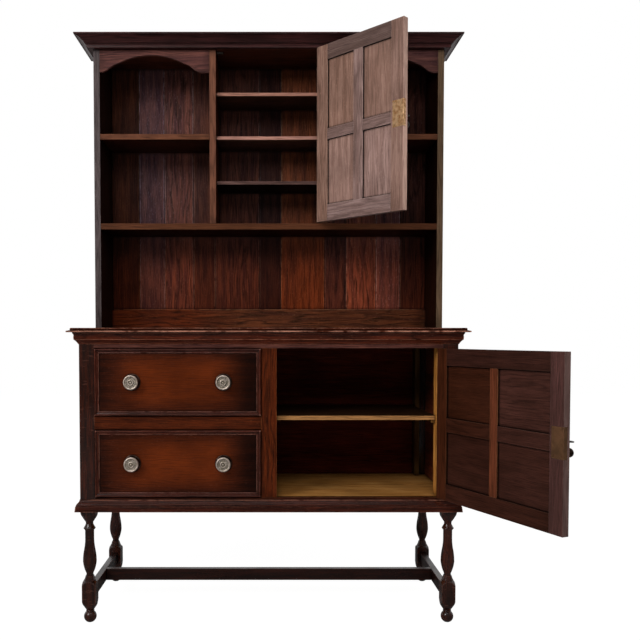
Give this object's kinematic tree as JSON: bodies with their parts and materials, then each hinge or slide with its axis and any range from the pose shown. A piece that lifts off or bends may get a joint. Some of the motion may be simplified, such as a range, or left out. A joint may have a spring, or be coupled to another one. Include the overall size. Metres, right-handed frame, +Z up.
{
  "type": "kitchen dresser",
  "caption": "Stained oak kitchen dresser: a base with drawers and a cupboard on turned legs, under an open rack with shelves, back boards, a cornice and a small panelled door.",
  "frame": {"origin": "on the floor under the middle of the whole dresser with both doors standing open", "axes": "+X to the right seen from the front, +Y from the front to the wall behind, +Z up"},
  "size_m": [1.3712, 0.9008, 1.842],
  "materials": {
    "stained_oak": "dark stain and polish",
    "bare_oak": "unstained, aged",
    "brass": "worn lacquer",
    "aged_brass": "dull, worn bright",
    "steel": "dull"
  },
  "bodies": {
    "carcase": {"leg_post_front_left": "stained_oak", "leg_post_back_left": "stained_oak", "leg_post_front_right": "stained_oak", "leg_post_back_right": "stained_oak", "side_stretchers": "stained_oak", "middle_stretcher": "stained_oak", "bottom_rail": "stained_oak", "top_rail": "stained_oak", "drawer_rail": "stained_oak", "centre_stile": "stained_oak", "side_boards": "stained_oak", "floor_board": "bare_oak", "partition": "bare_oak", "back_panel": "bare_oak", "back_frame": "bare_oak", "worktop": "stained_oak", "worktop_moulding": "stained_oak", "plinth_moulding": "stained_oak", "door_stop_strips": "stained_oak", "cupboard_shelf": "bare_oak", "shelf_cleats": "bare_oak", "drawer_runners": "bare_oak", "drawer_kickers": "bare_oak", "rack_sides": "stained_oak", "long_shelf": "stained_oak", "rack_top": "stained_oak", "rack_dividers": "stained_oak", "bay_shelves": "stained_oak", "middle_shelves": "stained_oak", "valances": "stained_oak", "rack_back_rail": "stained_oak", "door_keep": "stained_oak", "rack_back_boards": "stained_oak", "cornice": "stained_oak", "hinge_fixed_leaves": "brass", "hinge_pins": "brass"},
    "upper_drawer": {"drawer_upper_bottom": "bare_oak", "drawer_upper_box": "bare_oak", "drawer_upper_front": "stained_oak", "drawer_upper_moulding": "stained_oak", "drawer_upper_knobs": "aged_brass"},
    "upper_door": {"door_upper_frame": "stained_oak", "door_upper_panels": "stained_oak", "door_upper_lock": "brass", "door_upper_pull": "aged_brass", "door_upper_hinge_leaves": "brass"},
    "upper_bolt": {"door_upper_bolt": "brass"},
    "upper_key": {"door_upper_key": "steel"},
    "lower_drawer": {"drawer_lower_bottom": "bare_oak", "drawer_lower_box": "bare_oak", "drawer_lower_front": "stained_oak", "drawer_lower_moulding": "stained_oak", "drawer_lower_knobs": "aged_brass"},
    "lower_door": {"door_lower_frame": "stained_oak", "door_lower_panels": "stained_oak", "door_lower_lock": "brass", "door_lower_pull": "aged_brass", "door_lower_hinge_leaves": "brass"},
    "lower_bolt": {"door_lower_bolt": "brass"},
    "lower_key": {"door_lower_key": "steel"}
  },
  "joints": [
    {"name": "upper_door_hinge", "type": "hinge", "parent": "carcase", "child": "upper_door", "pos_m": [0.11059, 0.24924, 1.5239], "axis": [0, 0, 1], "range_deg": [-133.8, 30]},
    {"name": "upper_key_turn", "type": "hinge", "parent": "upper_door", "child": "upper_key", "pos_m": [0.33091, 0.01488, 1.52812], "axis": [-0.7218, -0.6921, 0], "range_deg": [0, 180]},
    {"name": "upper_bolt_slide", "type": "slide", "parent": "upper_door", "child": "upper_bolt", "axis": [0.6921, -0.7218, 0], "range_m": [0, 0.008]},
    {"name": "upper_drawer_slide", "type": "slide", "parent": "carcase", "child": "upper_drawer", "axis": [0, -1, 0], "range_m": [0, 0.3]},
    {"name": "lower_door_hinge", "type": "hinge", "parent": "carcase", "child": "lower_door", "pos_m": [0.46109, 0.01225, 0.61165], "axis": [0, 0, 1], "range_deg": [-114.5, 40]},
    {"name": "lower_key_turn", "type": "hinge", "parent": "lower_door", "child": "lower_key", "pos_m": [0.65522, -0.42145, 0.61463], "axis": [-0.91, -0.4147, 0], "range_deg": [0, 180]},
    {"name": "lower_bolt_slide", "type": "slide", "parent": "lower_door", "child": "lower_bolt", "axis": [0.4147, -0.91, 0], "range_m": [0, 0.008]},
    {"name": "lower_drawer_slide", "type": "slide", "parent": "carcase", "child": "lower_drawer", "axis": [0, -1, 0], "range_m": [0, 0.3]}
  ],
  "couplings": [
    {"joint": "upper_bolt_slide", "follows": "upper_key_turn", "m_per_rad": 0.0025465},
    {"joint": "lower_bolt_slide", "follows": "lower_key_turn", "m_per_rad": 0.0025465}
  ]
}
